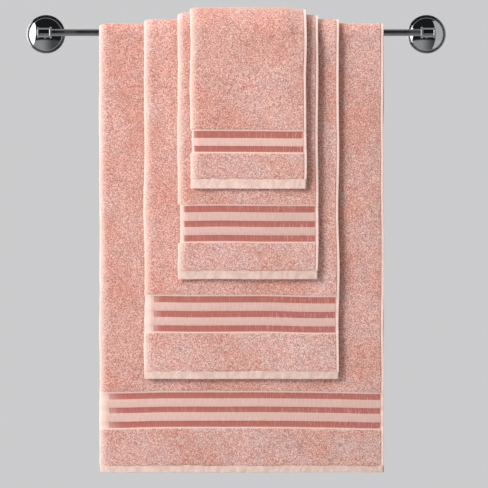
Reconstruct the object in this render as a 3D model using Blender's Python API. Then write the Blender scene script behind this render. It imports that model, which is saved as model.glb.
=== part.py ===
"""Four folded bath towels hanging over one chrome wall rail.

Metres, +Z up. The wall is the plane Y = 0 and the set faces -Y. The origin is on the wall, midway
between the two rosettes and level with the rail's axis. Each towel is folded in half lengthwise, with
its fold at the left and its open edges at the right, then hung over the rail, and over the towels that
hang there already. Its two ends finish in hems.
"""

import math
from collections import namedtuple

import bmesh
import bpy
from mathutils import Matrix, Vector

GAP = 0.0003  # between pieces that touch

# Rail
STANDOFF = 0.072  # wall to the rail's axis
POST_SPACING = 0.671
TUBE_RADIUS = 0.006
TUBE_WALL = 0.001
TUBE_IN_HEAD = 0.017  # how far each end of the tube sits in a post's head

# Post: a turned head that takes the tube, on a round stem
HEAD_LENGTH = 0.0257
HEAD_END_RADIUS = 0.0099
HEAD_BODY_RADIUS = 0.0082
HEAD_RING_RADIUS = 0.0103
HEAD_RING_LENGTH = 0.0040
HEAD_FLARE = 0.0030
SOCKET_DEPTH = 0.018
STEM_RADIUS = 0.0076
STEM_START = 0.0040  # wall to the stem's hollow end
STEM_PAST_AXIS = 0.0015  # how far the stem runs on inside the head
SPIGOT_HOLE_DEPTH = 0.026

# Rosette: a hollow dome with a beaded rim, over the wall bracket
ROSETTE_RADIUS = 0.0340
DOME_RADIUS = 0.0290
DOME_RISE = 0.0090
DOME_BASE = 0.0044  # wall to the dome's edge
SHELL = 0.0016

# Wall bracket: a plate with two screw holes, and a spigot inside the stem
PLATE_RADIUS = 0.0230
PLATE_THICKNESS = 0.0030
SPIGOT_RADIUS = 0.0040
SPIGOT_LENGTH = 0.0240
SCREW_HOLE_RADIUS = 0.0024
SCREW_HOLE_OFFSET = 0.0150

# Grub screw: through the underside of the stem, onto the spigot
GRUB_RADIUS = 0.0020
GRUB_LENGTH = 0.0034
GRUB_SOCKET_RADIUS = 0.0010
GRUB_SOCKET_DEPTH = 0.0016
GRUB_FROM_WALL = 0.0200

# Towels. flat is the width and length of the cloth before folding, and centre the middle of the folded
# width along the rail.
Towel = namedtuple("Towel", "name flat_width flat_length centre thickness hem colour")
TOWELS = (
    Towel("bath_sheet", 0.994, 1.563, 0.0092, 0.0100, 0.0120, (0.66, 0.37, 0.32)),
    Towel("bath_towel", 0.681, 1.267, 0.0090, 0.0090, 0.0135, (0.65, 0.38, 0.33)),
    Towel("hand_towel", 0.491, 0.949, 0.0204, 0.0098, 0.0150, (0.64, 0.37, 0.32)),
    Towel("guest_towel", 0.406, 0.6645, 0.0207, 0.0092, 0.0180, (0.66, 0.40, 0.34)),
)
BACK_SHORTER = 0.010  # the end behind the rail hangs this much higher than the front one
HEM_THICKNESS_SHARE = 0.7
HEM_INSET = 0.001  # from each edge of the cloth
FOLD_STEPS = 6
EDGE_CHAMFER_SHARE = 0.14
OPEN_EDGE_DEPTH = 0.008  # how far the folded cloth's two layers part at the open edge
OPEN_EDGE_SHARE = 0.10  # of the thickness, where they part
ARCH_STEPS = 16  # over the rail, an even number so that one step is at the top

ROUND_STEPS = 32
SMALL_ROUND_STEPS = 16
HEX_STEPS = 6
SMOOTH_BELOW = math.radians(40)

CHROME = ("chrome", (0.55, 0.55, 0.56), 0.08, 1.0)
STEEL = ("zinc_plated_steel", (0.48, 0.48, 0.50), 0.35, 1.0)
TERRY_ROUGHNESS = 0.95
HEM_COLOUR = (0.78, 0.56, 0.49)


def clear_scene():
    for obj in list(bpy.data.objects):
        bpy.data.objects.remove(obj, do_unlink=True)


def make_material(name, colour, roughness, metallic):
    material = bpy.data.materials.new(name)
    material.use_nodes = True
    shader = material.node_tree.nodes["Principled BSDF"]
    shader.inputs["Base Color"].default_value = (*colour, 1)
    shader.inputs["Roughness"].default_value = roughness
    shader.inputs["Metallic"].default_value = metallic
    return material


def make_object(name, mesh_builder, material=None):
    """A new object from a bmesh, in place, facing out and with its round faces smooth."""
    bmesh.ops.recalc_face_normals(mesh_builder, faces=mesh_builder.faces)
    mesh = bpy.data.meshes.new(name)
    mesh_builder.to_mesh(mesh)
    mesh_builder.free()
    mesh.shade_smooth()
    mesh.set_sharp_from_angle(angle=SMOOTH_BELOW)
    if material:
        mesh.materials.append(make_material(f"{name}_{material[0]}", *material[1:]))
    obj = bpy.data.objects.new(name, mesh)
    bpy.context.collection.objects.link(obj)
    return obj


def make_helper(name, mesh_builder):
    """A solid that only takes part in a Boolean."""
    helper = make_object(name, mesh_builder)
    helper.hide_render = True
    helper.display_type = "WIRE"
    return helper


def combine(obj, helper, operation):
    modifier = obj.modifiers.new(f"{operation.lower()}_{helper.name}", "BOOLEAN")
    modifier.object = helper
    modifier.operation = operation
    modifier.solver = "EXACT"


def turn(profile, start, axis, steps=ROUND_STEPS, phase=0.0):
    """A solid turned from (distance along the axis, radius) points. A radius of 0 closes on the axis.

    phase turns its facets by that share of a step.
    """
    along = Vector(axis).normalized()
    side = along.orthogonal().normalized()
    builder = bmesh.new()
    rings = []
    for distance, radius in profile:
        centre = Vector(start) + along * distance
        if radius == 0:
            rings.append([builder.verts.new(centre)])
            continue
        ring = []
        for step in range(steps):
            spin = Matrix.Rotation(2 * math.pi * (step + phase) / steps, 3, along)
            ring.append(builder.verts.new(centre + spin @ side * radius))
        rings.append(ring)
    closed = profile[0][1] != 0
    pairs = list(zip(rings, rings[1:])) + ([(rings[-1], rings[0])] if closed else [])
    for first, second in pairs:
        for step in range(steps):
            after = (step + 1) % steps
            corners = [first[step % len(first)], first[after % len(first)]]
            corners += [second[after % len(second)], second[step % len(second)]]
            builder.faces.new(dict.fromkeys(corners))
    return builder


def rod(radius, length, start, axis, steps=ROUND_STEPS):
    """A plain cylinder. Its facets sit half a step round from those of a turned solid."""
    profile = [(0, 0), (0, radius), (length, radius), (length, 0)]
    return turn(profile, start, axis, steps, phase=0.5)


# Rail


def rail_tube():
    """An open tube whose ends sit in the two heads."""
    reach = POST_SPACING / 2 - HEAD_LENGTH / 2 + TUBE_IN_HEAD
    inner = TUBE_RADIUS - TUBE_WALL
    profile = [(-reach, TUBE_RADIUS), (reach, TUBE_RADIUS), (reach, inner), (-reach, inner)]
    make_object("rail_tube", turn(profile, (0, -STANDOFF, 0), (1, 0, 0)), CHROME)


def head_profile():
    """From the outer end to the ring that faces the towels."""
    body_end = HEAD_LENGTH - HEAD_RING_LENGTH
    round_off = HEAD_RING_RADIUS - 0.3 * HEAD_RING_LENGTH
    return [
        (0, 0),
        (0, HEAD_END_RADIUS - 0.0006),
        (0.0006, HEAD_END_RADIUS),
        (0.4 * HEAD_FLARE, HEAD_END_RADIUS),
        (HEAD_FLARE, HEAD_BODY_RADIUS),
        (body_end - 0.4 * HEAD_FLARE, HEAD_BODY_RADIUS),
        (body_end, round_off),
        (body_end + 0.3 * HEAD_RING_LENGTH, HEAD_RING_RADIUS),
        (body_end + 0.7 * HEAD_RING_LENGTH, HEAD_RING_RADIUS),
        (HEAD_LENGTH, round_off),
        (HEAD_LENGTH, 0),
    ]


def stem_profile():
    """From the bottom of the spigot's blind hole, out of its mouth, then up the outside."""
    hole_radius = SPIGOT_RADIUS + GAP
    length = STANDOFF + STEM_PAST_AXIS - STEM_START
    return [
        (SPIGOT_HOLE_DEPTH, 0),
        (SPIGOT_HOLE_DEPTH, hole_radius),
        (0, hole_radius),
        (0, STEM_RADIUS),
        (length, STEM_RADIUS),
        (length, 0),
    ]


def post(name, side):
    """The head and its stem in one piece, with a socket for the tube and a hole for the grub screw."""
    outer_end = Vector((side * (POST_SPACING + HEAD_LENGTH) / 2, -STANDOFF, 0))
    inwards = Vector((-side, 0, 0))
    foot = Vector((side * POST_SPACING / 2, -STEM_START, 0))
    obj = make_object(name, turn(head_profile(), outer_end, inwards), CHROME)
    stem = turn(stem_profile(), foot, (0, -1, 0), phase=0.5)
    combine(obj, make_helper(f"{name}_stem_shape", stem), "UNION")
    socket_mouth = outer_end + inwards * (HEAD_LENGTH + GAP)
    socket = rod(TUBE_RADIUS + GAP, SOCKET_DEPTH + GAP, socket_mouth, -inwards)
    combine(obj, make_helper(f"{name}_socket_shape", socket), "DIFFERENCE")
    grub_hole_start = Vector((foot.x, -GRUB_FROM_WALL, -STEM_RADIUS - GAP))
    grub_hole = rod(GRUB_RADIUS + GAP, STEM_RADIUS, grub_hole_start, (0, 0, 1), SMALL_ROUND_STEPS)
    combine(obj, make_helper(f"{name}_grub_hole", grub_hole), "DIFFERENCE")


def dome_height(radius):
    """Wall to the dome's outer surface, at a radius from its axis."""
    sphere = (DOME_RADIUS**2 + DOME_RISE**2) / (2 * DOME_RISE)
    edge = math.sqrt(sphere**2 - DOME_RADIUS**2)
    return DOME_BASE + math.sqrt(sphere**2 - radius**2) - edge


def rosette(name, side):
    """A thin turned shell: outer bead, groove, fine ring, then the dome up to the stem."""
    hole = STEM_RADIUS + GAP
    dome_steps = 5
    radii = [DOME_RADIUS + (hole - DOME_RADIUS) * i / dome_steps for i in range(dome_steps + 1)]
    rim_inner = ROSETTE_RADIUS - SHELL
    outer = [
        (GAP, ROSETTE_RADIUS - 0.0004),
        (0.0016, ROSETTE_RADIUS),
        (0.0029, ROSETTE_RADIUS - 0.0004),
        (0.0035, ROSETTE_RADIUS - 0.0014),
        (0.0030, ROSETTE_RADIUS - 0.0028),
        (0.0044, ROSETTE_RADIUS - 0.0032),
        (0.0048, ROSETTE_RADIUS - 0.0041),
    ]
    outer += [(dome_height(radius), radius) for radius in radii]
    inner = [(dome_height(radius) - SHELL, radius) for radius in reversed(radii)]
    inner += [(0.0016, rim_inner), (GAP, rim_inner)]
    centre = (side * POST_SPACING / 2, 0, 0)
    make_object(name, turn(outer + inner, centre, (0, -1, 0)), CHROME)


def wall_bracket(name, side):
    """The plate is flat against the wall, and its spigot runs up inside the stem."""
    centre = Vector((side * POST_SPACING / 2, 0, 0))
    out_of_wall = Vector((0, -1, 0))
    profile = [
        (0, 0),
        (0, PLATE_RADIUS),
        (PLATE_THICKNESS, PLATE_RADIUS),
        (PLATE_THICKNESS, SPIGOT_RADIUS),
        (SPIGOT_LENGTH, SPIGOT_RADIUS),
        (SPIGOT_LENGTH, 0),
    ]
    obj = make_object(name, turn(profile, centre, out_of_wall), STEEL)
    for label, height in (("upper", SCREW_HOLE_OFFSET), ("lower", -SCREW_HOLE_OFFSET)):
        start = centre + Vector((0, GAP, height))
        length = PLATE_THICKNESS + 2 * GAP
        hole = rod(SCREW_HOLE_RADIUS, length, start, out_of_wall, SMALL_ROUND_STEPS)
        combine(obj, make_helper(f"{name}_{label}_screw_hole", hole), "DIFFERENCE")


def grub_screw(name, side):
    """A headless screw with a hexagon socket in its lower end."""
    tip = Vector((side * POST_SPACING / 2, -GRUB_FROM_WALL, -SPIGOT_RADIUS - GAP))
    down = (0, 0, -1)
    obj = make_object(name, rod(GRUB_RADIUS, GRUB_LENGTH, tip, down, SMALL_ROUND_STEPS), STEEL)
    socket_start = tip + Vector(down) * (GRUB_LENGTH - GRUB_SOCKET_DEPTH)
    socket_length = GRUB_SOCKET_DEPTH + GAP
    socket = rod(GRUB_SOCKET_RADIUS, socket_length, socket_start, down, HEX_STEPS)
    combine(obj, make_helper(f"{name}_hex_socket", socket), "DIFFERENCE")


# Towels


def fold_section(width, thickness):
    """Outline of the folded cloth across its width, as (along the rail, through the thickness) points.

    The fold at the left is a half round. At the right the two layers part in a shallow V.
    """
    half = thickness / 2
    points = []
    for step in range(FOLD_STEPS + 1):
        angle = math.pi / 2 + math.pi * step / FOLD_STEPS
        points.append((half + half * math.cos(angle), half + half * math.sin(angle)))
    chamfer = EDGE_CHAMFER_SHARE * thickness
    part = OPEN_EDGE_SHARE * thickness
    points += [
        (width - chamfer, 0),
        (width, chamfer),
        (width, half - part),
        (width - OPEN_EDGE_DEPTH, half),
        (width, half + part),
        (width, thickness - chamfer),
        (width - chamfer, thickness),
    ]
    return points


def hem_section(width, thickness):
    chamfer = EDGE_CHAMFER_SHARE * thickness
    return [
        (chamfer, thickness),
        (0, thickness - chamfer),
        (0, chamfer),
        (chamfer, 0),
        (width - chamfer, 0),
        (width, chamfer),
        (width, thickness - chamfer),
        (width - chamfer, thickness),
    ]


def hanging_frames(drop_front, drop_back):
    """(height, turn) along the path from the front end, over the rail, to the back end.

    The turn is 0 on the front panel, where the cloth's outside faces -Y, and pi on the back panel.
    """
    frames = [(-drop_front, 0.0)]
    frames += [(0.0, math.pi * step / ARCH_STEPS) for step in range(ARCH_STEPS + 1)]
    frames.append((-drop_back, math.pi))
    return frames


def sweep(section, inner_radius, left, frames):
    """Carries a section of the cloth along its hanging path, and caps both ends."""
    builder = bmesh.new()
    rings = []
    for height, angle in frames:
        outwards = Vector((0, -math.cos(angle), math.sin(angle)))
        base = Vector((left, -STANDOFF, height))
        ring = []
        for along, through in section:
            point = base + outwards * (inner_radius + through) + Vector((along, 0, 0))
            ring.append(builder.verts.new(point))
        rings.append(ring)
    for first, second in zip(rings, rings[1:]):
        for index in range(len(section)):
            after = (index + 1) % len(section)
            builder.faces.new((first[index], first[after], second[after], second[index]))
    builder.faces.new(rings[0])
    builder.faces.new(reversed(rings[-1]))
    return builder


def towel(spec, inner_radius):
    """The cloth over the rail, and a hem at each end."""
    width = spec.flat_width / 2
    left = spec.centre - width / 2
    arch = math.pi * (inner_radius + spec.thickness / 2)
    drop_front = (spec.flat_length - arch + BACK_SHORTER) / 2
    drop_back = drop_front - BACK_SHORTER
    fabric = ("terry", spec.colour, TERRY_ROUGHNESS, 0.0)
    frames = hanging_frames(drop_front - spec.hem - GAP, drop_back - spec.hem - GAP)
    section = fold_section(width, spec.thickness)
    make_object(f"{spec.name}_cloth", sweep(section, inner_radius, left, frames), fabric)

    hem_thickness = HEM_THICKNESS_SHARE * spec.thickness
    section = hem_section(width - 2 * HEM_INSET, hem_thickness)
    hem_radius = inner_radius + (spec.thickness - hem_thickness) / 2
    woven = ("hem", HEM_COLOUR, TERRY_ROUGHNESS, 0.0)
    for end, drop, angle in (("front", drop_front, 0.0), ("back", drop_back, math.pi)):
        frames = [(-drop, angle), (-drop + spec.hem, angle)]
        builder = sweep(section, hem_radius, left + HEM_INSET, frames)
        make_object(f"{spec.name}_{end}_hem", builder, woven)


def main():
    clear_scene()
    rail_tube()
    for label, side in (("left", -1), ("right", 1)):
        post(f"{label}_post", side)
        rosette(f"{label}_rosette", side)
        wall_bracket(f"{label}_wall_bracket", side)
        grub_screw(f"{label}_grub_screw", side)
    inner_radius = TUBE_RADIUS + GAP
    for spec in TOWELS:
        towel(spec, inner_radius)
        inner_radius += spec.thickness + GAP


main()
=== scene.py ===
"""Looks for four folded terry towels that hang over one chrome wall rail.

Metres, +Z up, with the wall at Y = 0 and the rail along X. Each towel is one folded sheet with a real
thickness: terry with a recessed woven border near each end, a fold at the left, a selvedge at the right
and a hem of its own at both ends.
"""

import math
from collections import namedtuple

import bmesh
import bpy
import numpy as np
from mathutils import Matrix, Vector


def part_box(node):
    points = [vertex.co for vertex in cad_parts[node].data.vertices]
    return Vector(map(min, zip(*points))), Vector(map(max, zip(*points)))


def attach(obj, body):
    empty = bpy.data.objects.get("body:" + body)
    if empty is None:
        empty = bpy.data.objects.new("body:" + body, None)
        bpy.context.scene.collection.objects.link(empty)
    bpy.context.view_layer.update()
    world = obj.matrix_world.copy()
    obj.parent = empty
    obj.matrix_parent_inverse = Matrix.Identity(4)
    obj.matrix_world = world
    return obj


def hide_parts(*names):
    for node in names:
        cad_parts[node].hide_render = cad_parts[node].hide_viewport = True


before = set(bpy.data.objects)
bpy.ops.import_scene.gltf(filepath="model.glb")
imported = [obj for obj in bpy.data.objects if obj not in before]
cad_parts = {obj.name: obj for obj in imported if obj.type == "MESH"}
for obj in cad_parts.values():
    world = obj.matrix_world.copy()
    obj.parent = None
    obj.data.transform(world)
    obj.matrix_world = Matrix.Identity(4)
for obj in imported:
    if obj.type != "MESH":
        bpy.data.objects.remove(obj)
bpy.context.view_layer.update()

# Where things are, from the frame
tube_low, tube_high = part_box("rail_tube")
AXIS_Y = (tube_low.y + tube_high.y) / 2
TUBE_RADIUS = (tube_high.z - tube_low.z) / 2
TUBE_REACH = tube_high.x
POST_X = sum(corner.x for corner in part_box("right_rosette")) / 2
HEAD_END_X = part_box("right_post")[1].x

# Rail
TUBE_WALL = 0.001
HEAD_RADIUS = 0.0099
HEAD_WAIST = 0.0082
HEAD_RING = 0.0103
HEAD_LENGTH = 0.0257
STEM_RADIUS = 0.0076
STEM_START = 0.0040
GRUB_HOLE_FROM_WALL = 0.0200
ROSETTE_RADIUS = 0.0340
DOME_RADIUS = 0.0290
DOME_RISE = 0.0090
DOME_BASE = 0.0044
SHELL = 0.0014
TURN_STEPS = 160

# Towels. flat is the cut size, thickness that of the folded towel, hem its height. stripes are heights
# above the cut edge, fade is where the stripes begin and are full, from the fold. droop is how far the
# woven border hangs lower at its (left, right) end, sink how far the top lies under its full height at
# its (left end, middle, right end). inset is how far the fold draws in at the woven border. tone is how
# light the woven parts are and pile_tone how light the terry is.
Towel = namedtuple(
    "Towel",
    "name rests_on flat_width flat_length thickness hem stripes fade droop sink inset tone pile_tone"
    " seed",
)
TOWELS = (
    Towel(
        "bath_sheet", "rail_tube", 0.994, 1.563, 0.0100, 0.0115,
        ((0.0800, 0.0905), (0.1055, 0.1153), (0.1297, 0.1400)),
        (0.0170, 0.0420), (0.0030, 0.0030), (0.0, 0.0, 0.0), 0.0003, 0.91, 1.02, 11,
    ),
    Towel(
        "bath_towel", "bath_sheet", 0.681, 1.267, 0.0090, 0.0127,
        ((0.0828, 0.0935), (0.1078, 0.1187), (0.1335, 0.1444)),
        (0.0170, 0.0340), (0.0, 0.0018), (0.0018, 0.0018, 0.0018), 0.0016, 0.90, 1.07, 23,
    ),
    Towel(
        "hand_towel", "bath_towel", 0.491, 0.949, 0.0098, 0.0141,
        ((0.0660, 0.0768), (0.0912, 0.1017), (0.1167, 0.1278)),
        (0.0112, 0.0150), (0.0, 0.0008), (0.0, 0.0, 0.0050), 0.0040, 0.89, 1.06, 37,
    ),
    Towel(
        "guest_towel", "hand_towel", 0.406, 0.6645, 0.0092, 0.0162,
        ((0.0640, 0.0743), (0.0880, 0.1000)),
        (0.0076, 0.0106), (0.0, 0.0006), (0.0008, 0.0008, 0.0048), 0.0030, 0.96, 1.05, 53,
    ),
)
BACK_SHORTER = 0.010
LAYER_SHARE = 0.42  # of the folded thickness, for each of its two layers
HEM_SHARE = 0.70  # of the folded thickness
HEM_LAYER_SHARE = 0.44  # of the folded hem's thickness, for each of its two layers
HEM_INSET = 0.001
HEM_TUCK = 0.0020  # how far the hem runs up under the pile
FOLD_REACH = 0.0170  # how far in from the fold the cloth is still rounding over
BORDER_MARGIN = 0.0028  # flat weave beyond the outer stripes
PILE_DEPTH = 0.0015  # pile standing over the flat weave
STRIPE_DEPTH = 0.0007  # stripes below the pale weave
CORD_RISE = 0.0004  # the cord that edges the border, over the pale weave
CLOTH_STEP = 0.0042  # between rows and columns of the cloth's mesh
HEM_STEP = 0.0030
EDGE_POINTS = (0.0066, 0.0058, 0.0051, 0.0045, 0.0024, 0.0009, 0.0003, 0.0)  # from the open edge
HEM_EDGE_POINTS = (0.0040, 0.0025, 0.0012, 0.0005, 0.0)

# Colours of the cloth, in sRGB from 0 to 255
# Pile colours: the dark one partly painted shade between the loops, the pale one partly painted highlight
# on their tops
PILE_DEEP, PILE_MIDDLE, PILE_TOP = (171, 110, 102), (203, 150, 139), (230, 194, 184)
PALE_SPECK, DARK_SPECK = (252, 228, 219), (156, 88, 80)
# Painted highlight on the pile where the light falls on the fold
PILE_FOLD_HIGHLIGHT = (234, 210, 199)
PALE_WEAVE, STRIPE, STRIPE_STREAK = (227, 189, 179), (176, 106, 98), (216, 160, 151)
# Painted highlight on the cord that edges the woven border
CORD_HIGHLIGHT = (240, 210, 200)
# Painted highlight on the woven border where the light falls on the fold
WEAVE_FOLD_HIGHLIGHT = (238, 210, 200)
# The selvedge tape's own colour, and the painted shadow at its step down from the pile
EDGE_TAPE, SELVEDGE_STEP_SHADOW = (246, 216, 205), (168, 104, 96)
# Hem colours: the dark and pale ends are painted shade and light of its puckers
HEM_DARK, HEM_PALE = (223, 190, 179), (240, 215, 205)
THREAD_DARK, THREAD_PALE = (222, 184, 172), (246, 222, 210)

# Threads and loops of the cloth
SELVEDGE_END = 0.0052  # of the flat tape, from the open edge
STRIPES_END = 0.0058  # of the stripes, from the open edge
RIB_PITCH = 0.0024
UPRIGHT_PITCH = 0.0036
BORDER_THREADS = (0.0011, 0.0009)
HEM_THREADS = (0.0010, 0.0010)

# Light and floor, with colours in linear values
BACKDROP = (0.60, 0.60, 0.61)
AMBIENT = (0.153, 0.105, 0.100)
AMBIENT_BEHIND = (0.72, 0.72, 0.72)
ROOM_ABOVE = (0.012, 0.012, 0.013)
ROOM_BELOW_LEFT = (0.30, 0.30, 0.305)
ROOM_BELOW_RIGHT = (0.07, 0.07, 0.072)
ROOM_BEHIND = (0.36, 0.36, 0.36)
KEY_TURN = 54  # degrees from straight ahead of the wall, to the left
KEY_LIFT = 24
KEY_DISTANCE = 4.0
KEY_SIZE = 1.8
KEY_RADIANCE = 15.5
SOFTBOX_RADIANCE = 1.6
CARD_RADIANCE = 0.35
TOP_RADIANCE = 3.0
FLOOR_LEVEL = -1.35
FLOOR_RADIUS = 7.0

# Camera
VIEW_CENTRE = (0.0136, -0.095, -0.3698)
VIEW_DISTANCE = 9.0
VIEW_WIDTH = 0.8515  # of the scene, at the towels


# Small helpers


def smooth(value, low, high):
    t = np.clip((value - low) / (high - low), 0, 1)
    return t * t * (3 - 2 * t)


def band(value, low, high, soft):
    return smooth(value, low - soft, low + soft) - smooth(value, high - soft, high + soft)


def ripples(u, v, size, seed, count=22, stretch=1.0):
    """A soft random field of about unit spread and this size of feature, lengthened along v by stretch."""
    random = np.random.RandomState(seed)
    total = np.zeros(np.broadcast(u, v).shape)
    for _ in range(count):
        heading, phase = random.uniform(0, 2 * math.pi, 2)
        rate = 2 * math.pi / (size * random.uniform(0.7, 1.5))
        across = rate * math.cos(heading) * u
        along = rate * math.sin(heading) * v / stretch
        total += np.cos(across + along + phase)
    return total / math.sqrt(count / 2)


def new_object(name, mesh, material):
    mesh.materials.append(material)
    obj = bpy.data.objects.new(name, mesh)
    bpy.context.collection.objects.link(obj)
    return obj


def linear(*srgb):
    """Linear colour of an sRGB one given from 0 to 255."""
    return tuple(
        (c / 255 / 12.92 if c <= 10 else ((c / 255 + 0.055) / 1.055) ** 2.4) for c in srgb
    )


# Materials


class Graph:
    """A material whose nodes are written as calls."""

    def __init__(self, name, rough, metallic=0.0):
        self.material = bpy.data.materials.new(name)
        self.material.use_nodes = True
        self.tree = self.material.node_tree
        self.shader = self.tree.nodes["Principled BSDF"]
        self.shader.inputs["Roughness"].default_value = rough
        self.shader.inputs["Metallic"].default_value = metallic

    def put(self, socket, value):
        if isinstance(value, bpy.types.NodeSocket):
            self.tree.links.new(value, socket)
        elif isinstance(value, tuple) and len(value) == 3 and len(socket.default_value) == 4:
            socket.default_value = (*value, 1)
        else:
            socket.default_value = value

    def node(self, kind, inputs, out=0, **settings):
        node = self.tree.nodes.new(kind)
        for key, value in settings.items():
            setattr(node, key, value)
        for key, value in inputs.items():
            self.put(node.inputs[key], value)
        return node.outputs[out]

    def math(self, operation, *values):
        return self.node("ShaderNodeMath", dict(enumerate(values)), operation=operation)

    def add(self, *values):
        total = values[0]
        for value in values[1:]:
            total = self.math("ADD", total, value)
        return total

    def times(self, a, b):
        return self.math("MULTIPLY", a, b)

    def ramp(self, value, low, high, to_low=0.0, to_high=1.0):
        inputs = {0: value, 1: low, 2: high, 3: to_low, 4: to_high}
        return self.node("ShaderNodeMapRange", inputs, interpolation_type="SMOOTHSTEP")

    def band(self, value, low, high, soft):
        rise = self.ramp(value, low - soft, low + soft)
        return self.times(rise, self.ramp(value, high - soft, high + soft, 1.0, 0.0))

    def mix(self, factor, a, b, blend="MIX"):
        inputs = {"Factor": factor, 6: a, 7: b}
        return self.node("ShaderNodeMix", inputs, out=2, data_type="RGBA", blend_type=blend)

    def shade(self, colour, amount):
        """The colour made lighter or darker all over by a factor."""
        grey = self.node("ShaderNodeCombineColor", {0: amount, 1: amount, 2: amount})
        return self.mix(1.0, colour, grey, "MULTIPLY")

    def tinted(self, colour, factor, tint):
        """The colour multiplied by a tint, as far as the factor says, which keeps its detail."""
        return self.mix(1.0, colour, self.mix(factor, (1.0, 1.0, 1.0), tint), "MULTIPLY")

    def noise(self, place, scale, detail=2.0, rough=0.5, distort=0.0):
        inputs = {"Vector": place, "Scale": scale, "Detail": detail}
        inputs.update({"Roughness": rough, "Distortion": distort})
        return self.node("ShaderNodeTexNoise", inputs)

    def stretched(self, place, x, y, z=1.0):
        return self.node("ShaderNodeVectorMath", {0: place, 1: (x, y, z)}, operation="MULTIPLY")

    def cloth_place(self):
        """(place as a vector, signed distance from the fold, distance from the front cut edge)"""
        place = self.node("ShaderNodeUVMap", {}, uv_map="cloth")
        split = self.tree.nodes.new("ShaderNodeSeparateXYZ")
        self.tree.links.new(place, split.inputs[0])
        return place, split.outputs[0], split.outputs[1]

    def finish(self, colour, height=None, rough=None):
        self.put(self.shader.inputs["Base Color"], colour)
        if rough is not None:
            self.put(self.shader.inputs["Roughness"], rough)
        if height is not None:
            inputs = {"Height": height, "Distance": 1.0, "Strength": 1.0}
            bump = self.node("ShaderNodeBump", inputs)
            self.tree.links.new(bump, self.shader.inputs["Normal"])
        return self.material


def soft_sheen(graph, weight, rough, tint):
    graph.shader.inputs["Sheen Weight"].default_value = weight
    graph.shader.inputs["Sheen Roughness"].default_value = rough
    graph.shader.inputs["Sheen Tint"].default_value = (*tint, 1)
    graph.shader.inputs["Specular IOR Level"].default_value = 0.15


def weave(graph, across, along, pitch_across, pitch_along):
    """A plain weave's height from 0 to 1, in threads of these pitches."""
    warp = graph.math("SINE", graph.times(across, 2 * math.pi / pitch_across))
    weft = graph.math("SINE", graph.times(along, 2 * math.pi / pitch_along))
    return graph.math("MULTIPLY_ADD", graph.times(warp, weft), 0.5, 0.5)


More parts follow.
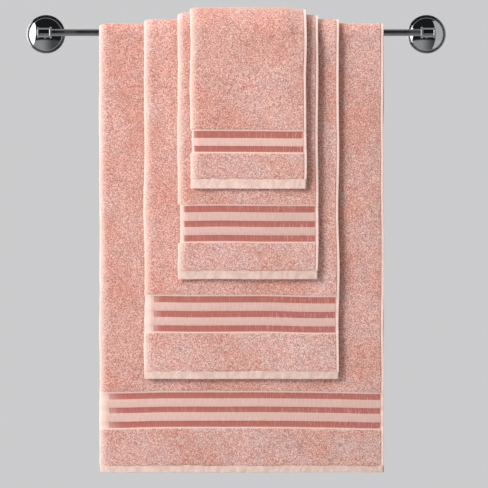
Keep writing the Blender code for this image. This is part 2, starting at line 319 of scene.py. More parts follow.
def terry_material(spec):
    """Looped pile, with a woven border near each end and a flat selvedge at the open edge."""
    graph = Graph(f"{spec.name}_terry", 0.95)
    soft_sheen(graph, 0.55, 0.40, (1.0, 0.94, 0.90))
    place, across, along = graph.cloth_place()
    from_fold = graph.math("ABSOLUTE", across)
    from_edge = graph.math("SUBTRACT", spec.flat_width / 2, from_fold)
    height = graph.math("MINIMUM", along, graph.math("SUBTRACT", spec.flat_length, along))

    # Loops of the pile, each lighter or darker than the next, with loose fibres on them
    drift = graph.noise(place, 240.0, 2.0)
    cells = {"Vector": place, "Scale": 780.0}
    loops = graph.node("ShaderNodeTexVoronoi", cells, voronoi_dimensions="2D")
    loop_tint = graph.node("ShaderNodeSeparateColor", {0: loops.node.outputs["Color"]})
    cells = {"Vector": place, "Scale": 520.0}
    specks = graph.node("ShaderNodeTexVoronoi", cells, voronoi_dimensions="2D")
    speck = graph.node("ShaderNodeSeparateColor", {0: specks.node.outputs["Color"]})
    speck_shape = graph.ramp(specks, 0.62, 0.30)
    fibres = graph.noise(place, 1700.0, 2.0, 0.7)
    tufts = graph.noise(place, 300.0, 2.0, 0.6)
    loop_top = graph.ramp(loops, 0.80, 0.05)
    pile = graph.add(
        graph.times(loop_top, 0.22), graph.times(loop_tint, 0.56), graph.times(fibres, 0.22)
    )

    # Edges of the woven parts, made a little uneven by the pile over them
    uneven = graph.times(graph.math("SUBTRACT", drift, 0.5), 0.0012)
    ragged = graph.add(height, uneven)
    crisp = graph.add(height, graph.times(uneven, 0.25))
    low, high = spec.stripes[0][0], spec.stripes[-1][1]
    border = graph.band(ragged, low - BORDER_MARGIN, high + BORDER_MARGIN, 0.0006)
    stripes = graph.add(*[graph.band(crisp, *stripe, 0.00025) for stripe in spec.stripes])
    # Pale lines at the border's edges: a painted highlight on the cord, lifting the shade where the border
    # steps under the pile
    cord_highlight_band = graph.add(
        graph.band(crisp, low - 0.0026, low - 0.0008, 0.0004),
        graph.band(crisp, high + 0.0008, high + 0.0026, 0.0004),
    )
    from_tape = graph.add(from_edge, graph.times(uneven, 0.4))
    selvedge = graph.ramp(from_tape, SELVEDGE_END, SELVEDGE_END - 0.0006)
    flat = graph.math("MAXIMUM", border, selvedge)
    start, full = spec.fade
    shown = graph.add(
        graph.times(graph.ramp(from_fold, start, start + 0.0012), 0.62),
        graph.times(graph.ramp(from_fold, start + 0.0010, full), 0.38),
    )
    shown = graph.times(shown, graph.ramp(from_edge, STRIPES_END, STRIPES_END + 0.0008))
    stripes = graph.times(stripes, shown)

    # Pile colour: dark between the loops and pale on their tops, partly random tone from loop to loop and
    # partly painted shade in the gaps and painted highlight on the crowns, drifting from coral to greyish
    # pink
    deep, middle, top = linear(*PILE_DEEP), linear(*PILE_MIDDLE), linear(*PILE_TOP)
    colour = graph.mix(graph.ramp(pile, 0.20, 0.50), deep, middle)
    colour = graph.mix(graph.ramp(pile, 0.50, 0.82), colour, top)
    pale_speck = graph.times(graph.ramp(speck, 0.78, 0.90), speck_shape)
    dark_speck = graph.times(graph.ramp(speck, 0.22, 0.10), speck_shape)
    colour = graph.mix(graph.times(pale_speck, 0.34), colour, linear(*PALE_SPECK))
    colour = graph.mix(graph.times(dark_speck, 0.30), colour, linear(*DARK_SPECK))
    clouds = graph.noise(place, 30.0, 4.0, 0.62)
    wide = graph.noise(place, 9.0, 3.0, 0.5)
    colour = graph.tinted(colour, graph.ramp(clouds, 0.44, 0.62), (0.95, 1.03, 1.06))
    colour = graph.tinted(colour, graph.ramp(wide, 0.42, 0.60), (1.05, 0.93, 0.88))
    # Painted light: the pile turns paler towards the open edge and stays redder nearer the fold, standing
    # in for how the light and its bounce fall across the towel
    painted_light_to_edge = graph.ramp(from_fold, 0.12 * spec.flat_width, 0.48 * spec.flat_width, 0.0, 1.0)
    colour = graph.tinted(colour, painted_light_to_edge, (1.05, 1.12, 1.13))
    below = graph.ramp(height, high + 0.01, low - 0.01)
    colour = graph.tinted(colour, below, (0.99, 1.05, 1.07))
    tone = graph.ramp(wide, 0.35, 0.60, 1.05 * spec.pile_tone, 0.95 * spec.pile_tone)
    colour = graph.shade(colour, tone)
    # Painted highlight: the pile turns cream towards the fold, where the light falls on it
    fold_highlight_on_pile = graph.ramp(from_fold, 0.0175, 0.0020, 0.0, 0.80)
    colour = graph.mix(fold_highlight_on_pile, colour, linear(*PILE_FOLD_HIGHLIGHT))

    # Woven border: pale bands with fine cross ribs, stripes with fine upright ribs and pale streaks
    ribs = graph.math("SINE", graph.times(along, 2 * math.pi / RIB_PITCH))
    upright = graph.math("SINE", graph.times(across, 2 * math.pi / UPRIGHT_PITCH))
    streaks = graph.noise(graph.stretched(place, 430.0, 60.0), 1.0, 2.0, 0.6)
    pale = graph.shade(linear(*PALE_WEAVE), graph.math("MULTIPLY_ADD", ribs, 0.03, spec.tone))
    pale = graph.shade(pale, graph.ramp(streaks, 0.3, 0.7, 0.94, 1.05))
    towards_edge = graph.ramp(from_fold, 0.15 * spec.flat_width, 0.48 * spec.flat_width, 0.45, 1.0)
    streak = graph.times(graph.ramp(streaks, 0.46, 0.70, 0.0, 0.60), towards_edge)
    dark = graph.mix(streak, linear(*STRIPE), linear(*STRIPE_STREAK))
    dark = graph.shade(dark, graph.math("MULTIPLY_ADD", upright, 0.07, 1.0))
    woven = graph.mix(stripes, pale, dark)
    # Painted highlight on the cord at the border's edges
    woven = graph.mix(graph.times(cord_highlight_band, 0.50), woven, linear(*CORD_HIGHLIGHT))
    # Painted highlight: the woven border turns cream towards the fold, where the light falls on it
    fold_highlight_on_weave = graph.ramp(from_fold, start + 0.0010, 0.6 * start, 0.0, 0.80)
    woven = graph.mix(fold_highlight_on_weave, woven, linear(*WEAVE_FOLD_HIGHLIGHT))
    edge_tape = graph.shade(linear(*EDGE_TAPE), graph.ramp(drift, 0.3, 0.7, 0.94, 1.05))
    # Painted shadow: a thin dark line where the selvedge steps down from the pile
    step_shadow_band = graph.band(from_edge, 0.0044, 0.0056, 0.0003)
    edge_tape = graph.mix(graph.times(step_shadow_band, 0.35), edge_tape, linear(*SELVEDGE_STEP_SHADOW))
    woven = graph.mix(selvedge, woven, edge_tape)
    colour = graph.mix(flat, colour, woven)
    colour = graph.mix(graph.times(step_shadow_band, 0.40), colour, linear(*SELVEDGE_STEP_SHADOW))

    pile_height = graph.add(
        graph.times(loop_top, 0.00022), graph.times(fibres, 0.00012), graph.times(tufts, 0.00012)
    )
    threads = weave(graph, across, along, *BORDER_THREADS)
    woven_height = graph.add(
        graph.times(threads, 0.00006), graph.times(ribs, 0.00005), graph.times(streaks, 0.00008)
    )
    inverse = graph.math("SUBTRACT", 1.0, flat)
    bump = graph.add(graph.times(pile_height, inverse), graph.times(woven_height, flat))
    rough = graph.math("MULTIPLY_ADD", flat, -0.18, 0.96)
    return graph.finish(colour, bump, rough)


def hem_material(spec):
    """A close plain weave, with the light and shade of its puckers along the stitching painted into the
    colour as soft blotches; the same pattern bumps the surface.
    """
    graph = Graph(f"{spec.name}_hem_weave", 0.85)
    soft_sheen(graph, 0.20, 0.40, (1.0, 0.95, 0.90))
    place, across, along = graph.cloth_place()
    slant = {"Vector": place, "Angle": 0.3}
    slanted = graph.node("ShaderNodeVectorRotate", slant, rotation_type="Z_AXIS")
    pucker_shading = graph.noise(graph.stretched(slanted, 110.0, 60.0), 1.0, 4.0, 0.62, 0.8)
    fine = graph.noise(place, 700.0, 2.0, 0.6)
    # Painted light and shade of the puckers
    colour = graph.mix(graph.ramp(pucker_shading, 0.30, 0.72), linear(*HEM_DARK), linear(*HEM_PALE))
    colour = graph.shade(colour, graph.ramp(fine, 0.25, 0.75, 0.95 * spec.tone, 1.05 * spec.tone))
    threads = weave(graph, across, along, *HEM_THREADS)
    height = graph.add(graph.times(threads, 0.00007), graph.times(pucker_shading, 0.0003))
    return graph.finish(colour, height)


def thread_material():
    graph = Graph("sewing_thread", 0.6)
    soft_sheen(graph, 0.25, 0.35, (1.0, 0.96, 0.92))
    place = graph.node("ShaderNodeTexCoord", {}, out=3)
    twist = graph.node("ShaderNodeTexWave", {"Vector": place, "Scale": 900.0, "Distortion": 1.5}, out=1)
    colour = graph.mix(twist, linear(*THREAD_DARK), linear(*THREAD_PALE))
    return graph.finish(colour, graph.times(twist, 0.00004))


def chrome_material(name, polish, tone=1.0):
    """Plating with faint wipe marks and a slightly uneven polish, of this roughness and brightness."""
    graph = Graph(name, polish, 1.0)
    place = graph.node("ShaderNodeTexCoord", {}, out=3)
    cloudy = graph.noise(place, 45.0, 4.0, 0.6)
    wiped = graph.noise(graph.stretched(place, 900.0, 120.0, 120.0), 1.0, 2.0, 0.6)
    darker = (0.74 * tone, 0.75 * tone, 0.77 * tone)
    lighter = (0.86 * tone, 0.87 * tone, 0.88 * tone)
    colour = graph.mix(cloudy, darker, lighter)
    rough = graph.ramp(cloudy, 0.35, 0.75, 0.7 * polish, 1.4 * polish)
    rough = graph.add(rough, graph.times(wiped, 0.02))
    return graph.finish(colour, graph.times(wiped, 0.0000015), rough)


def zinc_material():
    """Zinc plate with its mottled grain and dull patches."""
    graph = Graph("zinc_plate", 0.38, 1.0)
    place = graph.node("ShaderNodeTexCoord", {}, out=3)
    grain = graph.node("ShaderNodeTexVoronoi", {"Vector": place, "Scale": 420.0}, out=1)
    tone = graph.node("ShaderNodeSeparateColor", {0: grain})
    dull = graph.noise(place, 160.0, 4.0, 0.6)
    colour = graph.mix(tone, (0.44, 0.46, 0.50), (0.66, 0.67, 0.69))
    colour = graph.mix(graph.ramp(dull, 0.5, 0.75, 0.0, 0.5), colour, (0.36, 0.36, 0.35))
    rough = graph.ramp(dull, 0.3, 0.7, 0.28, 0.52)
    return graph.finish(colour, graph.times(dull, 0.00004), rough)


# Towel cloth

Section = namedtuple("Section", "u x n_out n_in normal_x normal_n")


def fold_section(width, depth, layer, step, edge_points):
    """Columns across the cloth, from the hidden layer's edge round the fold to the outer layer's edge.

    u is the distance from the fold, negative on the hidden layer. n runs through the folded depth.
    """
    reach = FOLD_REACH
    turns = np.linspace(-math.pi / 2, math.pi / 2, 15)
    outer = list(np.arange(reach + step, width - 0.0075, step)) + [width - d for d in edge_points]
    hidden = sorted(set(outer[1::2][:-3] + outer[-5:]))
    x = [np.array(hidden[::-1]), reach * (1 - np.cos(turns)), np.array(outer)]
    u = [-x[0], reach * turns / (math.pi / 2), x[2]]
    sides = [np.full(len(x[0]), -1.0), np.sin(turns), np.full(len(x[2]), 1.0)]
    side = np.concatenate(sides)
    x_out, u = np.concatenate(x), np.concatenate(u)
    folding = np.concatenate([np.zeros(len(x[0])), np.cos(turns), np.zeros(len(x[2]))])
    n_out = depth / 2 * (1 + side)
    n_in = depth / 2 + (depth / 2 - layer) * side
    x_in = x_out + layer * folding
    return Section(u, (x_out, x_in), n_out, n_in, -folding, side)


class Hang:
    """How one towel hangs: turns a place in the cloth into a point in space."""

    def __init__(self, spec):
        low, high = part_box(f"{spec.name}_cloth")
        self.spec = spec
        self.left = low.x
        self.width = spec.flat_width / 2
        self.inner = high.z - spec.thickness
        self.middle = self.inner + spec.thickness / 2
        self.arch = math.pi * self.middle
        self.drop = (spec.flat_length - self.arch + BACK_SHORTER) / 2

    def loft(self, x, v):
        """The share of the thickness left where the cloth is pressed flatter, in soft waves."""
        spec = self.spec
        waves = 0.00055 * (1 + np.tanh(ripples(x, v, 0.16, spec.seed, stretch=2.4)))
        left, middle, right = spec.sink
        sunk = left + (middle - left) * smooth(x / self.width, 0.06, 0.15)
        sunk = sunk + (right - middle) * smooth(x / self.width, 0.82, 0.96)
        on_top = self.on_top(v)
        return 1 - (waves * (1 - on_top) + sunk * on_top) / spec.thickness

    def on_top(self, v):
        """1 where the cloth lies over the rail, fading to 0 a little way down each side."""
        up = smooth(v, self.drop - 0.02, self.drop)
        return up * smooth(-v, -self.drop - self.arch - 0.02, -self.drop - self.arch)

    def hang_lower(self, x, v):
        """How far a place sits below its nominal height, from the border's droop and slack."""
        spec = self.spec
        height = np.minimum(v, spec.flat_length - v)
        near = smooth(height, -0.05, 0.02) * smooth(-height, -0.30, -0.17)
        share = x / self.width
        left = spec.droop[0] * np.clip(1 - 2 * share, 0, 1) ** 2.2
        right = spec.droop[1] * smooth(share, 0.55, 1.0)
        slack = 0.00022 * ripples(x, np.zeros_like(x), 0.11, spec.seed + 5, count=8)
        edge = smooth(height, 0.0, 0.05)
        return near * ((left + right) * edge + slack)

    def points(self, x, v, n):
        """Points in space for places x across, v along from the front cut edge and n through."""
        spec = self.spec
        lower = self.hang_lower(x, v)
        v = np.where(v < self.drop, v - lower, v + lower)
        n = n * self.loft(x, v)
        sway = 0.0005 * ripples(v, np.zeros_like(v), 0.14, spec.seed + 9, count=8)
        x = self.left + x + sway * smooth(np.abs(x / self.width - 0.5), 0.3, 0.5)
        angle = np.clip((v - self.drop) / self.middle, 0, math.pi)
        straight = np.where(v < self.drop, v - self.drop, np.minimum(self.drop + self.arch - v, 0))
        radius = self.inner + n
        y = AXIS_Y - np.cos(angle) * radius
        return np.stack([x, y, straight + np.sin(angle) * radius], axis=-1)


def thinned(count):
    return list(range(0, count - 1, 2)) + [count - 1]


def strip(outside, inside, kept):
    """Faces between an outside border and an inside one that keeps only some of its places."""
    faces = []
    for position, (first, second) in enumerate(zip(kept, kept[1:])):
        run = [outside[index] for index in range(first, second + 1)]
        faces.append(run + [inside[position + 1], inside[position]])
    return faces


def folded_mesh(name, hang, section, rows, shift, recess, wander=None):
    """The closed mesh of one folded cloth. Its inner faces have half as many rows and columns.

    recess is how far the outside lies in, and wander how far a place strays along the cloth.
    """
    rows, u = np.asarray(rows), section.u
    v = np.repeat(rows[:, None], len(u), axis=1)
    across = np.repeat(u[None, :], len(rows), axis=0)
    depth = recess(across, v)
    if wander:
        v = v + wander(across, v)
    x = section.x[0][None, :] - section.normal_x[None, :] * depth
    n = section.n_out[None, :] - section.normal_n[None, :] * depth + shift
    outside = hang.points(x, v, n)
    keep_rows, keep_columns = thinned(len(rows)), thinned(len(u))
    grid = np.ix_(keep_rows, keep_columns)
    x_in = np.repeat(section.x[1][None, :], len(rows), axis=0)[grid]
    n_in = np.repeat(section.n_in[None, :], len(rows), axis=0)[grid] + shift
    inside = hang.points(x_in, v[grid], n_in)

    count = len(rows) * len(u)
    out_index = np.arange(count).reshape(len(rows), len(u))
    in_index = count + np.arange(len(keep_rows) * len(keep_columns))
    in_index = in_index.reshape(len(keep_rows), len(keep_columns))

    def quads(index, flip):
        corners = [index[:-1, :-1], index[:-1, 1:], index[1:, 1:], index[1:, :-1]]
        stacked = np.stack(corners[::-1] if flip else corners, axis=-1)
        return stacked.reshape(-1, 4).tolist()

    faces = quads(out_index, False) + quads(in_index, True)
    faces += [face[::-1] for face in strip(out_index[0], in_index[0], keep_columns)]
    faces += strip(out_index[-1], in_index[-1], keep_columns)
    faces += strip(out_index[:, 0], in_index[:, 0], keep_rows)
    faces += [face[::-1] for face in strip(out_index[:, -1], in_index[:, -1], keep_rows)]
    points = np.concatenate([outside.reshape(-1, 3), inside.reshape(-1, 3)])
    mesh = bpy.data.meshes.new(name)
    mesh.from_pydata(points.tolist(), [], faces)
    places = np.concatenate(
        [
            np.stack([across, v], axis=-1).reshape(-1, 2),
            np.stack([across[grid], v[grid]], axis=-1).reshape(-1, 2),
        ]
    )
    layer = mesh.uv_layers.new(name="cloth")
    corner = np.empty(len(mesh.loops), dtype=np.int32)
    mesh.loops.foreach_get("vertex_index", corner)
    layer.uv.foreach_set("vector", places[corner].astype(np.float32).ravel())
    mesh.shade_smooth()
    mesh.update()
    return mesh


def cloth_rows(spec):
    """Distances along the cloth, with extra rows where the woven border steps."""
    length = spec.flat_length
    low, high = spec.stripes[0][0], spec.stripes[-1][1]
    steps = [low - BORDER_MARGIN, high + BORDER_MARGIN]
    steps += [place for stripe in spec.stripes for place in stripe]
    ends = [spec.hem + offset for offset in (0.0, 0.0005, 0.0013, 0.0026)]
    extra = sorted(ends + [place + offset for place in steps for offset in (-0.0005, 0.0005)])
    extra += [length - place for place in extra]
    plain = np.arange(spec.hem + 0.006, length - spec.hem - 0.006, CLOTH_STEP)
    clear = np.abs(plain[:, None] - np.array(extra)[None, :]).min(axis=1) > 0.0016
    return sorted(extra + list(plain[clear]))


def terry_recess(hang):
    """How far the outside of the cloth lies below its full pile, at (u, v)."""
    spec = hang.spec
    low, high = spec.stripes[0][0], spec.stripes[-1][1]
    noise = np.random.RandomState(spec.seed)

    def recess(u, v):
        height = np.minimum(v, spec.flat_length - v)
        from_edge = spec.flat_width / 2 - np.abs(u)
        flat = band(height, low - BORDER_MARGIN, high + BORDER_MARGIN, 0.0006)
        stripes = sum(band(height, *stripe, 0.0006) for stripe in spec.stripes)
        selvedge = smooth(-from_edge, -0.0056, -0.0046)
        ending = smooth(-height, -spec.hem - 0.0020, -spec.hem)
        cords = band(height, low - BORDER_MARGIN + 0.0004, low - 0.0006, 0.0004)
        cords += band(height, high + 0.0006, high + BORDER_MARGIN - 0.0004, 0.0004)
        at_fold = smooth(-np.abs(u), -0.0160, -0.0060)
        depth = PILE_DEPTH + (spec.inset - PILE_DEPTH) * at_fold
        woven = flat * depth + (stripes * STRIPE_DEPTH - cords * CORD_RISE) * (1 - 0.4 * at_fold)
        woven = np.maximum(woven, selvedge * 0.0007)
        woven = np.maximum(woven, ending * 0.0011) + 0.0003 * smooth(-from_edge, -0.0005, 0.0)
        pile = 0.00030 * (1 + np.tanh(ripples(u, v, 0.027, spec.seed + 1)))
        pile += 0.00008 * (1 + np.tanh(ripples(u, v, 0.011, spec.seed + 2)))
        pile *= 1 - 0.8 * hang.on_top(v)
        pile += noise.uniform(0, 0.00008, u.shape)
        return woven + pile * (1 - np.maximum(flat, selvedge))

    return recess


def pile_edge(spec):
    """Makes the pile's end over each hem wander up and down a little."""

    def wander(u, v):
        height = np.minimum(v, spec.flat_length - v)
        near = smooth(-height, -spec.hem - 0.0070, -spec.hem)
        up = 0.00040 + 0.00035 * ripples(u, v * 0, 0.030, spec.seed + 6, count=12)
        up += 0.00018 * ripples(u, v * 0, 0.009, spec.seed + 7, count=12)
        return near * up * np.where(v < spec.flat_length / 2, 1.0, -1.0)

    return wander


def hem_recess(spec, at_front):
    cut = 0.0 if at_front else spec.flat_length

    def recess(u, v):
        rounded = 0.0006 * smooth(-np.abs(v - cut), -0.0009, 0.0) ** 2
        from_edge = spec.flat_width / 2 - HEM_INSET - np.abs(u)
        rounded += 0.0006 * smooth(-from_edge, -0.0010, 0.0)
        puckers = 0.00008 * (1 + np.tanh(ripples(u, v, 0.012, spec.seed + 3, stretch=3)))
        return rounded + puckers + 0.00008 * (1 + np.tanh(ripples(u, v, 0.03, spec.seed + 4)))

    return recess


def stitch_row(name, hang, at_front, material):
    """One row of machine stitches in the outer face of a hem, in one mesh."""
    spec = hang.spec
    height = spec.hem - 0.0024
    v = height if at_front else spec.flat_length - height
    pitch, half, radius, sides = 0.0030, 0.0010, 0.00026, 6
    starts = np.arange(FOLD_REACH + 0.002, hang.width - 0.003, pitch)
    top = spec.thickness * (1 + HEM_SHARE) / 2 - 0.00018
    centre = hang.points(starts, np.full_like(starts, v), np.full_like(starts, top))
    away = np.array([0, -1.0 if at_front else 1.0, 0])
    profile = [(-half, 0.0), (-0.8 * half, 0.75), (0, 1.0), (0.8 * half, 0.75), (half, 0.0)]
    builder = bmesh.new()
    for point in centre:
        rings = []
        for along, share in profile:
            base = point + np.array([along, 0, 0]) + away * radius * (share - 0.6)
            if share == 0.0:
                rings.append([builder.verts.new(base)])
                continue
            ring = []
            for side in range(sides):
                angle = 2 * math.pi * side / sides
                offset = np.array([0, math.cos(angle), math.sin(angle)]) * radius * share
                ring.append(builder.verts.new(base + offset))
            rings.append(ring)
        for first, second in zip(rings, rings[1:]):
            for side in range(sides):
                after = (side + 1) % sides
                corners = [first[side % len(first)], first[after % len(first)]]
                corners += [second[after % len(second)], second[side % len(second)]]
                builder.faces.new(dict.fromkeys(corners))
    bmesh.ops.recalc_face_normals(builder, faces=builder.faces)
    mesh = bpy.data.meshes.new(name)
    builder.to_mesh(mesh)
    builder.free()
    mesh.shade_smooth()
    return new_object(name, mesh, material)


def towel(spec, thread):
    """The terry cloth, its two hems and their stitching, all on the towel's own body."""
    hang = Hang(spec)
    depth = spec.thickness
    section = fold_section(hang.width, depth, LAYER_SHARE * depth, CLOTH_STEP, EDGE_POINTS)
    name, rows = f"{spec.name}_pile", cloth_rows(spec)
    mesh = folded_mesh(name, hang, section, rows, 0.0, terry_recess(hang), pile_edge(spec))
    cloth = new_object(name, mesh, terry_material(spec))
    cloth.visible_glossy = False
    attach(cloth, spec.name)
    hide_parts(f"{spec.name}_cloth")

    extras = []
    hem_cloth = hem_material(spec)
    hem_depth = HEM_SHARE * depth
    hem_layer = HEM_LAYER_SHARE * hem_depth
    section = fold_section(hang.width - HEM_INSET, hem_depth, hem_layer, HEM_STEP, HEM_EDGE_POINTS)
    section = section._replace(x=tuple(x + HEM_INSET * (section.u < 0.011) for x in section.x))
    shape = np.array([0, 0.0004, 0.0009, 0.0016])
    for end, at_front in (("front", True), ("back", False)):
        rows = np.concatenate([shape, np.linspace(0.0035, spec.hem + HEM_TUCK, 6)])
        if not at_front:
            rows = spec.flat_length - rows[::-1]
        name = f"{spec.name}_{end}_hem_band"
        shift = (depth - hem_depth) / 2
        mesh = folded_mesh(name, hang, section, rows, shift, hem_recess(spec, at_front))
        hem = new_object(name, mesh, hem_cloth)
        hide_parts(f"{spec.name}_{end}_hem")
        stitches = stitch_row(f"{spec.name}_{end}_hem_stitches", hang, at_front, thread)
        extras += [hem, stitches]
    for piece in extras:
        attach(piece, spec.name)


# Rail


def arc(centre, radius, start, end, steps):
    """Profile points (distance along the axis, radius) round a centre, with angles in degrees."""
    turns = np.radians(np.linspace(start, end, steps + 1))
    return [(centre[0] + radius * math.cos(t), centre[1] + radius * math.sin(t)) for t in turns]


def turned(name, profile, start, axis, material, nodes):
    """A smooth solid turned from a profile of (distance, radius), which closes on itself or on the axis."""
    along = Vector(axis).normalized()
    side = along.orthogonal().normalized()
    other = along.cross(side)
    builder = bmesh.new()
    rings = []
    for distance, radius in profile:
        centre = Vector(start) + along * distance
        if radius <= 1e-9:
            rings.append([builder.verts.new(centre)])
            continue
        turns = [2 * math.pi * step / TURN_STEPS for step in range(TURN_STEPS)]
        offsets = [(side * math.cos(t) + other * math.sin(t)) * radius for t in turns]
        rings.append([builder.verts.new(centre + offset) for offset in offsets])
    closed = profile[0][1] > 1e-9
    pairs = list(zip(rings, rings[1:])) + ([(rings[-1], rings[0])] if closed else [])
    for first, second in pairs:
        for step in range(TURN_STEPS):
            after = (step + 1) % TURN_STEPS
            corners = [first[step % len(first)], first[after % len(first)]]
            corners += [second[after % len(second)], second[step % len(second)]]
            builder.faces.new(dict.fromkeys(corners))
    bmesh.ops.recalc_face_normals(builder, faces=builder.faces)
    mesh = bpy.data.meshes.new(name)
    builder.to_mesh(mesh)
    builder.free()
    mesh.shade_smooth()
    mesh.set_sharp_from_angle(angle=math.radians(38))
    obj = new_object(name, mesh, material)
    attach(obj, "rail")
    if nodes:
        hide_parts(*nodes)
    return obj


def rail_tube(chrome):
    inner = TUBE_RADIUS - TUBE_WALL
    lip = 0.0002
    profile = [
        (-TUBE_REACH + lip, TUBE_RADIUS),
        (TUBE_REACH - lip, TUBE_RADIUS),
        (TUBE_REACH, TUBE_RADIUS - lip),
        (TUBE_REACH, inner),
        (-TUBE_REACH, inner),
        (-TUBE_REACH, TUBE_RADIUS - lip),
    ]
    turned("rail_tube_plated", profile, (0, AXIS_Y, 0), (1, 0, 0), chrome, ["rail_tube"])


def head_profile():
    """From the outer end's face, over its flange and waist to the ring that meets the tube."""
    ring = 0.0040
    waist_start, waist_end = 0.0052, HEAD_LENGTH - ring
    flare = waist_start - 0.0030
    socket = TUBE_RADIUS + 0.0003
    profile = [(0.0004, 0.0), (0.0004, 0.0052), (0.0002, 0.0070)]
    profile += arc((0.0014, HEAD_RADIUS - 0.0014), 0.0014, 190, 15, 14)
    for step in range(1, 9):
        share = step / 8
        fall = (HEAD_RADIUS - 0.0014 - HEAD_WAIST) * (1 - share) ** 2.4
        profile.append((0.0030 + flare * share, HEAD_WAIST + fall))
    rise = HEAD_RING - ring / 2 - HEAD_WAIST
    profile += [(waist_end - 0.0022, HEAD_WAIST), (waist_end - 0.0010, HEAD_WAIST + 0.12 * rise)]
    profile += [(waist_end - 0.0003, HEAD_WAIST + 0.35 * rise)]
    bead = ring / 2
    profile += arc((waist_end + bead, HEAD_RING - bead), bead, 172, 8, 18)
    profile += [(HEAD_LENGTH, socket + 0.0004), (HEAD_LENGTH - 0.0004, socket)]
    profile += [(HEAD_LENGTH - 0.0180, socket), (HEAD_LENGTH - 0.0180, 0.0)]
    return profile


def dome_height(radius):
    sphere = (DOME_RADIUS**2 + DOME_RISE**2) / (2 * DOME_RISE)
    edge = math.sqrt(sphere**2 - DOME_RADIUS**2)
    return DOME_BASE + math.sqrt(sphere**2 - radius**2) - edge


def rosette_profile():
    """A thin shell: outer lip, groove, bead, groove, a sharp step, then the dome up to the stem."""
    rim = ROSETTE_RADIUS
    outer = [(0.0003, rim - 0.0005), (0.0007, rim - 0.0001), (0.0013, rim), (0.0018, rim - 0.0001)]
    outer += [(0.0021, rim - 0.0004), (0.0022, rim - 0.0007), (0.0019, rim - 0.0009)]
    for turn in np.radians(np.linspace(8, 172, 15)):
        outer.append((0.0017 + 0.0009 * math.sin(turn), rim - 0.0026 + 0.0015 * math.cos(turn)))
    edge = rim - 0.0060
    outer += [(0.0014, rim - 0.0042), (0.0014, rim - 0.0044), (0.0031, rim - 0.0045)]
    outer += [(dome_height(edge) - 0.0001, edge + 0.0002)]
    radii = np.linspace(edge, STEM_RADIUS + 0.0002, 26)
    outer += [(dome_height(radius), radius) for radius in radii]
    inner = [(dome_height(radius) - SHELL, radius) for radius in radii[::-1]]
    inner += [(0.0010, rim - 0.0030), (0.0003, rim - 0.0018)]
    return outer + inner


def post(label, side, chrome):
    """The turned head and the stem behind it, with the grub screw's hole in its underside."""
    outer_end = (side * HEAD_END_X, AXIS_Y, 0)
    node = f"{label}_post"
    turned(f"{node}_head", head_profile(), outer_end, (-side, 0, 0), chrome, [node])
    length = -AXIS_Y - STEM_START - 0.0035
    bore = 0.0043
    profile = [(0.026, 0.0), (0.026, bore), (0.0003, bore), (0.0, bore + 0.0003)]
    profile += [(0.0, STEM_RADIUS - 0.0004), (0.0004, STEM_RADIUS)]
    profile += [(length - 0.0060, STEM_RADIUS), (length - 0.0025, STEM_RADIUS)]
    profile += [(length, STEM_RADIUS - 0.0002), (length, 0.0)]
    foot = (side * POST_X, -STEM_START, 0)
    stem = turned(f"{node}_stem", profile, foot, (0, -1, 0), chrome, [])
    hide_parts(node)
    cutter_mesh = bpy.data.meshes.new("grub_hole_shape")
    builder = bmesh.new()
    bmesh.ops.create_cone(
        builder, cap_ends=True, segments=48, radius1=0.0023, radius2=0.0023, depth=0.0060
    )
    bmesh.ops.translate(
        builder, verts=builder.verts, vec=(side * POST_X, -GRUB_HOLE_FROM_WALL, -0.0072)
    )
    builder.to_mesh(cutter_mesh)
    builder.free()
    cutter = bpy.data.objects.new("grub_hole_shape", cutter_mesh)
    bpy.context.collection.objects.link(cutter)
    cut = stem.modifiers.new("grub_hole", "BOOLEAN")
    cut.object, cut.operation, cut.solver = cutter, "DIFFERENCE", "EXACT"
    with bpy.context.temp_override(object=stem, active_object=stem, selected_objects=[stem]):
        bpy.ops.object.modifier_apply(modifier="grub_hole")
    bpy.data.objects.remove(cutter, do_unlink=True)


def rail():
    """The plated tube, posts and rosettes. The zinc parts under them keep their CAD shape."""
    plate, zinc = chrome_material("chrome_plate", 0.04), zinc_material()
    # The heads' plating is a darker copy of the chrome: painted shade that dims their highlights
    head = chrome_material("head_chrome_darkened", 0.07, 0.74)
    rail_tube(chrome_material("satin_chrome", 0.42, 0.70))
    for label, side in (("left", -1), ("right", 1)):
        post(label, side, head)
        centre = (side * POST_X, 0, 0)
        name = f"{label}_rosette"
        turned(f"{name}_cover", rosette_profile(), centre, (0, -1, 0), plate, [name])
        for part in ("wall_bracket", "grub_screw"):
            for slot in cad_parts[f"{label}_{part}"].material_slots:
                slot.material = zinc


# Camera, light and floor


def aim(obj, target):
    obj.rotation_euler = (Vector(target) - obj.location).to_track_quat("-Z", "Y").to_euler()


def add_camera():
    data = bpy.data.cameras.new("camera")
    data.sensor_width = 36
    data.lens = data.sensor_width * VIEW_DISTANCE / VIEW_WIDTH
    data.clip_end = 100
    camera = bpy.data.objects.new("camera", data)
    camera.location = Vector(VIEW_CENTRE) - Vector((0, VIEW_DISTANCE, 0))
    camera.rotation_euler = (math.pi / 2, 0, 0)
    bpy.context.collection.objects.link(camera)
    bpy.context.scene.camera = camera


def area_light(name, shape, size, radiance, place, target):
    """A soft light of this (width, height) and brightness that shines from a place at a target."""
    data = bpy.data.lights.new(name, "AREA")
    data.shape = shape
    data.size, data.size_y = size
    area = size[0] * size[1] * (math.pi / 4 if shape == "DISK" else 1)
    data.energy = 4 * area * radiance
    light = bpy.data.objects.new(name, data)
    light.location = place
    aim(light, target)
    light.visible_camera = False
    bpy.context.collection.objects.link(light)
    return light


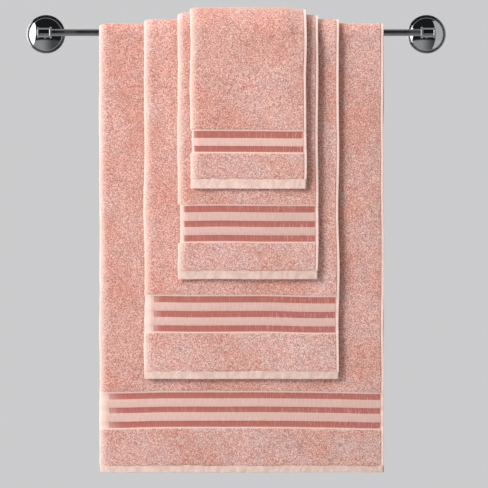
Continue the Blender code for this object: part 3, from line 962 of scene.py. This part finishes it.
def add_key():
    """A large soft light from the left and a little above, far enough to light the set evenly."""
    turn, lift = math.radians(KEY_TURN), math.radians(KEY_LIFT)
    towards = Vector((-math.sin(turn), -math.cos(turn), 0)) * math.cos(lift)
    towards.z = math.sin(lift)
    middle = Vector((0.01, AXIS_Y, -0.35))
    place = middle + towards * KEY_DISTANCE
    light = area_light("key", "RECTANGLE", (KEY_SIZE, KEY_SIZE), KEY_RADIANCE, place, middle)
    light.data.color = (1.0, 1.0, 0.985)
    light.visible_glossy = False


def add_top_fill():
    """A weak soft light overhead, which brings up the tops of the folds."""
    place, target = (0, -0.5, 2.6), (0, AXIS_Y, 0)
    light = area_light("top_fill", "RECTANGLE", (2.4, 1.2), TOP_RADIANCE, place, target)
    light.visible_glossy = False


def add_chrome_lights():
    """A round softbox beside the rail and an upright card at the right, which only the chrome sees."""
    place, target = (-1.83, -0.13, 0.12), (0, -0.01, 0)
    softbox = area_light("left_softbox", "DISK", (2.8, 2.8), SOFTBOX_RADIANCE, place, target)
    near, far, low, high = Vector((0.66, -0.40, 0)), Vector((1.25, -0.22, 0)), -1.10, 0.70
    middle = (near + far) / 2 + Vector((0, 0, (low + high) / 2))
    line = (far - near).normalized()
    inwards = Vector((-line.y, line.x, 0))
    size = ((far - near).length, high - low)
    card = area_light("right_card", "RECTANGLE", size, CARD_RADIANCE, middle, middle + inwards)
    softbox.visible_diffuse = card.visible_diffuse = False


def add_world():
    """Pale behind everything, with a dark room above the horizon in front for the chrome to reflect."""
    world = bpy.data.worlds.new("studio")
    bpy.context.scene.world = world
    world.use_nodes = True
    tree = world.node_tree
    tree.nodes.clear()

    def node(kind, inputs, **settings):
        made = tree.nodes.new(kind)
        for key, value in settings.items():
            setattr(made, key, value)
        for key, value in inputs.items():
            if isinstance(value, bpy.types.NodeSocket):
                tree.links.new(value, made.inputs[key])
            else:
                made.inputs[key].default_value = value
        return made

    def ramp(value, low, high):
        inputs = {0: value, 1: low, 2: high}
        return node("ShaderNodeMapRange", inputs, interpolation_type="SMOOTHSTEP").outputs[0]

    def mix(factor, a, b):
        inputs = {"Factor": factor, 6: (*a, 1) if isinstance(a, tuple) else a}
        inputs[7] = (*b, 1) if isinstance(b, tuple) else b
        return node("ShaderNodeMix", inputs, data_type="RGBA").outputs[2]

    direction = node("ShaderNodeTexCoord", {}).outputs["Generated"]
    split = node("ShaderNodeSeparateXYZ", {0: direction})
    below = mix(ramp(split.outputs[0], 0.45, -0.40), ROOM_BELOW_RIGHT, ROOM_BELOW_LEFT)
    front = mix(ramp(split.outputs[2], -0.30, -0.42), ROOM_ABOVE, below)
    room = mix(ramp(split.outputs[1], -0.22, -0.08), front, ROOM_BEHIND)
    path = node("ShaderNodeLightPath", {})
    ambient = mix(ramp(split.outputs[1], 0.02, 0.20), AMBIENT, AMBIENT_BEHIND)
    seen = mix(path.outputs["Is Glossy Ray"], ambient, room)
    seen = mix(path.outputs["Is Camera Ray"], seen, BACKDROP)
    background = node("ShaderNodeBackground", {0: seen})
    node("ShaderNodeOutputWorld", {0: background.outputs[0]})


def add_floor():
    builder = bmesh.new()
    bmesh.ops.create_circle(builder, cap_ends=True, segments=96, radius=FLOOR_RADIUS)
    mesh = bpy.data.meshes.new("floor")
    builder.to_mesh(mesh)
    builder.free()
    graph = Graph("pale_floor", 0.6)
    place = graph.node("ShaderNodeTexCoord", {}, out=3)
    colour = graph.mix(graph.noise(place, 1.5, 3.0), (0.78, 0.80, 0.81), (0.82, 0.84, 0.85))
    floor = new_object("floor", mesh, graph.finish(colour))
    floor.location = (0, 0, FLOOR_LEVEL)
    floor.visible_glossy = False


def main():
    add_camera()
    add_world()
    add_floor()
    add_key()
    add_chrome_lights()
    add_top_fill()
    rail()
    thread = thread_material()
    for spec in TOWELS:
        towel(spec, thread)
    bpy.context.scene.view_settings.view_transform = "Standard"


main()
